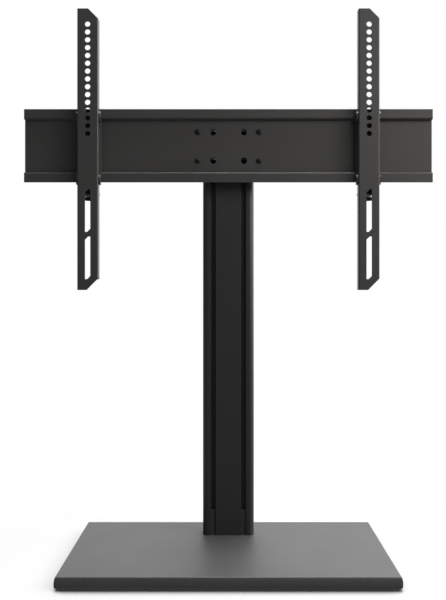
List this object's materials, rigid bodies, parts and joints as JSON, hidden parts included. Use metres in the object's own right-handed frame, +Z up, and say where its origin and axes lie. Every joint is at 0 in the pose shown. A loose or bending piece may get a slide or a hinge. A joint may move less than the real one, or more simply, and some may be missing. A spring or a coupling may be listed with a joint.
{
  "type": "television table stand",
  "caption": "Table-top pedestal on a board base: T-slot column, height-adjustable crossbar and hook-on arms with hole rows and slots for a flat screen.",
  "frame": {"origin": "centre of the base on the surface it stands on", "axes": "+Z up, -Y towards the viewer and the screen, +X to the right seen from the front"},
  "size_m": [0.662, 0.285, 0.8752],
  "materials": {
    "powder_coat": "fine satin powder coat, charcoal",
    "column_coat": "satin black anodised extrusion",
    "board_lacquer": "lacquered fibreboard, satin charcoal",
    "black_plastic": "moulded, matt",
    "black_steel": "blackened fastener steel",
    "zinc_steel": "bright zinc plate",
    "foot_rubber": "matt rubber"
  },
  "bodies": {
    "stand": {"base_board": "board_lacquer", "base_underplate": "powder_coat", "underplate_screws": "zinc_steel", "column_screws": "black_steel", "foot_front_left": "foot_rubber", "foot_front_right": "foot_rubber", "foot_rear_left": "foot_rubber", "foot_rear_right": "foot_rubber", "column": "column_coat", "column_cap": "black_plastic", "slot_plug_left": "black_plastic", "slot_plug_right": "black_plastic", "cable_cover": "black_plastic"},
    "carriage": {"crossbar": "powder_coat", "slide_bracket": "powder_coat", "ear_screws": "black_steel", "ear_nuts": "zinc_steel", "clamp_bolts": "black_steel", "clamp_washers": "zinc_steel", "slot_nut_left": "zinc_steel", "slot_nut_right": "zinc_steel"},
    "arm_assembly_left": {"arm_left": "powder_coat", "hook_bracket_left": "powder_coat", "hook_rivets_left": "black_steel", "lock_nut_left": "powder_coat"},
    "lock_left": {"lock_screw_left": "black_steel"},
    "arm_assembly_right": {"arm_right": "powder_coat", "hook_bracket_right": "powder_coat", "hook_rivets_right": "black_steel", "lock_nut_right": "powder_coat"},
    "lock_right": {"lock_screw_right": "black_steel"}
  },
  "joints": [
    {"name": "height_slide", "type": "slide", "parent": "stand", "child": "carriage", "axis": [0, 0, 1], "range_m": [-0.25, 0]},
    {"name": "arm_left_slide", "type": "slide", "parent": "carriage", "child": "arm_assembly_left", "axis": [1, 0, 0], "range_m": [-0.075, 0.125]},
    {"name": "lock_left_travel", "type": "slide", "parent": "arm_assembly_left", "child": "lock_left", "axis": [0, 0, 1], "range_m": [-0.008, 0]},
    {"name": "arm_right_slide", "type": "slide", "parent": "carriage", "child": "arm_assembly_right", "axis": [1, 0, 0], "range_m": [-0.125, 0.075]},
    {"name": "lock_right_travel", "type": "slide", "parent": "arm_assembly_right", "child": "lock_right", "axis": [0, 0, 1], "range_m": [-0.008, 0]}
  ]
}
